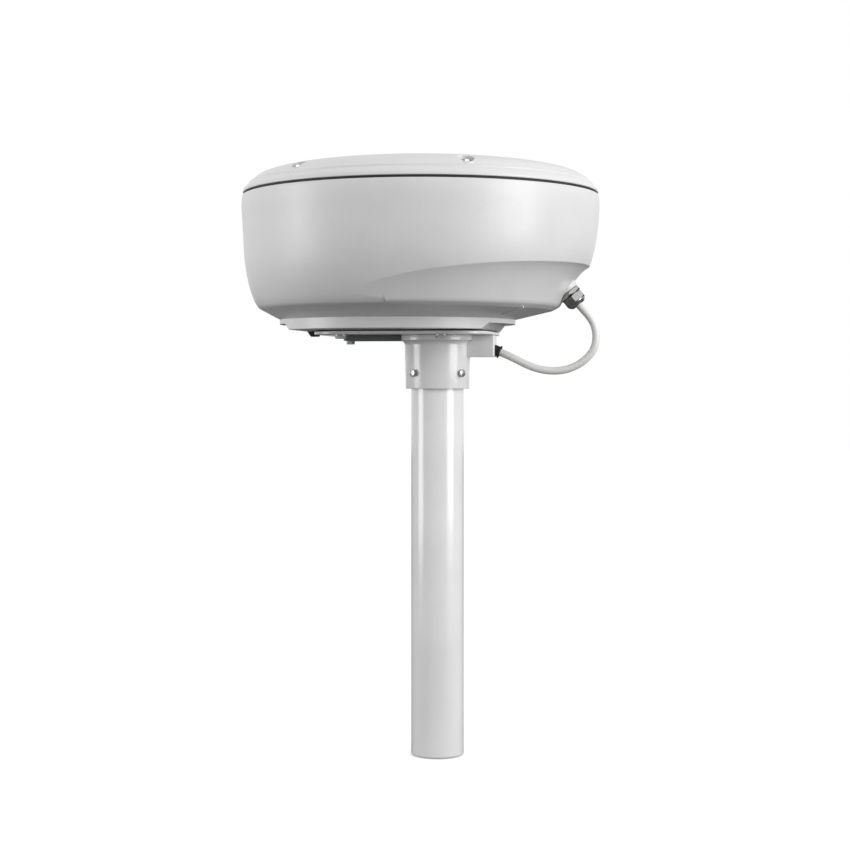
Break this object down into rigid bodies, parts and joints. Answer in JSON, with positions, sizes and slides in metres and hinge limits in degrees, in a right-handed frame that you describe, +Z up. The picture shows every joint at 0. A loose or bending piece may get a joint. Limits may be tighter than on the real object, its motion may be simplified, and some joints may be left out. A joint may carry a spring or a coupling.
{
  "type": "radar dome antenna",
  "caption": "Round marine radar dome on a pole mount, with a gear-driven antenna turning inside and a looped cable at the rear.",
  "frame": {"origin": "centre of the pole's square-cut lower end", "axes": "+Z up along the pole, +X to the rear where the cable leaves the radome, -X forwards"},
  "size_m": [0.4769, 0.4758, 0.7914],
  "materials": {
    "radome_white": "moulded radome plastic with a soft gloss",
    "white_paint": "gloss white powder coat",
    "pole_paint": "gloss white powder coat",
    "grey_paint": "satin dark grey paint",
    "black_rubber": "matt moulded rubber",
    "stainless": "satin stainless steel",
    "nickel": "nickel-plated brass, machined",
    "cable_white": "smooth extruded cable sheath",
    "aluminium": "satin milled aluminium",
    "cast_aluminium": "fine cast grain",
    "bearing_steel": "ground steel",
    "motor_black": "satin black paint",
    "gear_plastic": "natural acetal",
    "brass": "turned brass",
    "board_green": "solder-masked board",
    "terminal_green": "moulded terminal block",
    "magnetron_copper": "copper body with black magnets",
    "array_cover": "glass-filled window sheet"
  },
  "bodies": {
    "mast": {"lower_housing": "radome_white", "top_cover": "radome_white", "pole_head": "white_paint", "cable_entry_box": "white_paint", "mounting_plate": "white_paint", "pole": "pole_paint", "support_arm": "grey_paint", "cable_bush": "black_rubber", "foot_pad": "black_rubber", "cover_gasket": "black_rubber", "drain_plug": "black_rubber", "arm_bolt": "stainless", "collar_bolt_1": "stainless", "collar_bolt_2": "stainless", "collar_bolt_3": "stainless", "collar_bolt_4": "stainless", "plate_screw_1": "stainless", "plate_screw_2": "stainless", "plate_screw_3": "stainless", "plate_screw_4": "stainless", "foot_bolt_1": "stainless", "foot_bolt_2": "stainless", "foot_bolt_3": "stainless", "foot_bolt_4": "stainless", "cover_bolt_1": "stainless", "cover_bolt_2": "stainless", "cover_bolt_3": "stainless", "cover_bolt_4": "stainless", "cover_bolt_5": "stainless", "cover_bolt_6": "stainless", "gland_body": "nickel", "gland_nut": "nickel", "gland_locknut": "nickel", "scanner_cable": "cable_white", "inner_lead": "cable_white", "chassis_plate": "aluminium", "motor_mount": "aluminium", "bearing_housing": "cast_aluminium", "transceiver_case": "cast_aluminium", "lower_bearing": "bearing_steel", "upper_bearing": "bearing_steel", "drive_motor": "motor_black", "heading_sensor": "motor_black", "standoff_1": "brass", "standoff_2": "brass", "standoff_3": "brass", "standoff_4": "brass", "rotary_joint": "brass", "modulator_board": "board_green", "power_board": "board_green", "terminal_block": "terminal_green", "magnetron": "magnetron_copper"},
    "antenna": {"antenna_shaft": "bearing_steel", "drive_gear": "gear_plastic", "antenna_bracket": "aluminium", "feed_guide": "brass", "antenna_array": "aluminium", "array_cover": "array_cover", "heading_magnet": "stainless"},
    "pinion": {"motor_pinion": "gear_plastic"}
  },
  "joints": [
    {"name": "antenna_spin", "type": "hinge", "parent": "mast", "child": "antenna", "pos_m": [-0.023, 0, 0.6], "axis": [0, 0, 1], "continuous": true},
    {"name": "pinion_spin", "type": "hinge", "parent": "mast", "child": "pinion", "pos_m": [-0.023, -0.07, 0.62], "axis": [0, 0, 1], "continuous": true}
  ],
  "couplings": [
    {"joint": "pinion_spin", "follows": "antenna_spin", "ratio": -4}
  ]
}
